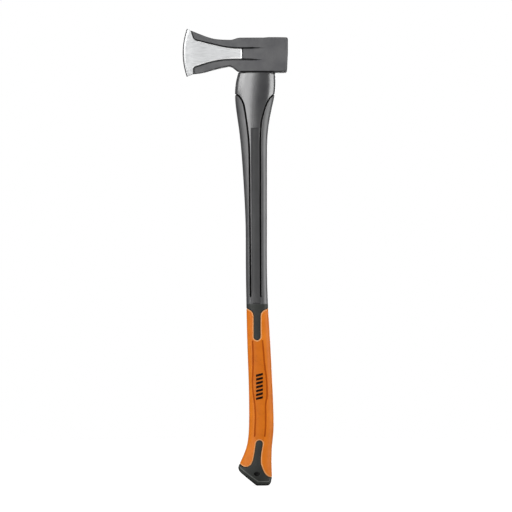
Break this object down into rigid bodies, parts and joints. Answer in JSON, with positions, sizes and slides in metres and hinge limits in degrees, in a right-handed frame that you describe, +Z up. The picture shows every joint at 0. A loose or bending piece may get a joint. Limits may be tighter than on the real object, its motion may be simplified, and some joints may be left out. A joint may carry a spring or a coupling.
{
  "type": "long-handled axe",
  "caption": "Long-handled flat-head axe: forged head with a wide bit, steel flanges and a hammer poll, on a moulded composite handle with a soft grip and a knob.",
  "frame": {"origin": "centre of the flat heel under the butt knob, in the middle of the axe's thickness", "axes": "+Z up the handle to the head, -X towards the cutting edge, +X towards the hammer poll, Y across the thickness"},
  "size_m": [0.2075, 0.048, 0.9001],
  "materials": {
    "head_paint": "matt dark grey paint over the forging, with the bit ground bare and bright",
    "eye_resin": "cured dark epoxy",
    "gasket_rubber": "moulded rubber",
    "glass_fibre": "pultruded fibreglass",
    "jacket_grey": "satin moulded dark grey plastic",
    "grip_orange": "soft-touch moulded orange grip",
    "cap_black": "matt moulded black grip compound"
  },
  "bodies": {
    "root": {"axe_head": "head_paint", "eye_resin": "eye_resin", "eye_gasket": "gasket_rubber", "core_rod": "glass_fibre", "handle_jacket": "jacket_grey", "grip_sleeve": "grip_orange", "butt_cap": "cap_black"}
  },
  "joints": []
}
